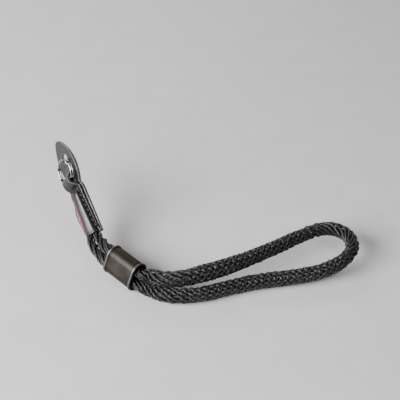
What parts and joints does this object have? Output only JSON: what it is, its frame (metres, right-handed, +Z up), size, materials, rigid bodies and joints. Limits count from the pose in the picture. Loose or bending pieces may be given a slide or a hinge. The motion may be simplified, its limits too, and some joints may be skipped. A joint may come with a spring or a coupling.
{
  "type": "camera wrist strap",
  "caption": "Braided cord wrist loop with a metal slider, a stitched black leather end and a split ring that hangs it on a camera's lug.",
  "frame": {"origin": "the point of the split ring's inner edge that hangs on the camera's lug", "axes": "+X along the loop that lies on the table, away from the slider; +Z up; the leather end runs down along -Y"},
  "size_m": [0.1542, 0.1401, 0.0504],
  "materials": {
    "ring_steel": "polished",
    "leather": "fine grain, satin",
    "slider_metal": "brushed gunmetal",
    "cord": "round braid of twisted cords"
  },
  "bodies": {
    "strap": {"front_leather": "leather", "back_leather": "leather", "rope_loop": "cord", "slider": "slider_metal"},
    "ring": {"split_ring": "ring_steel"}
  },
  "joints": [
    {"name": "ring_swing", "type": "hinge", "parent": "strap", "child": "ring", "pos_m": [0.00146, -0.01228, -0.00773], "axis": [0.3744, -0.4617, 0.8042], "range_deg": [0, 100]}
  ]
}
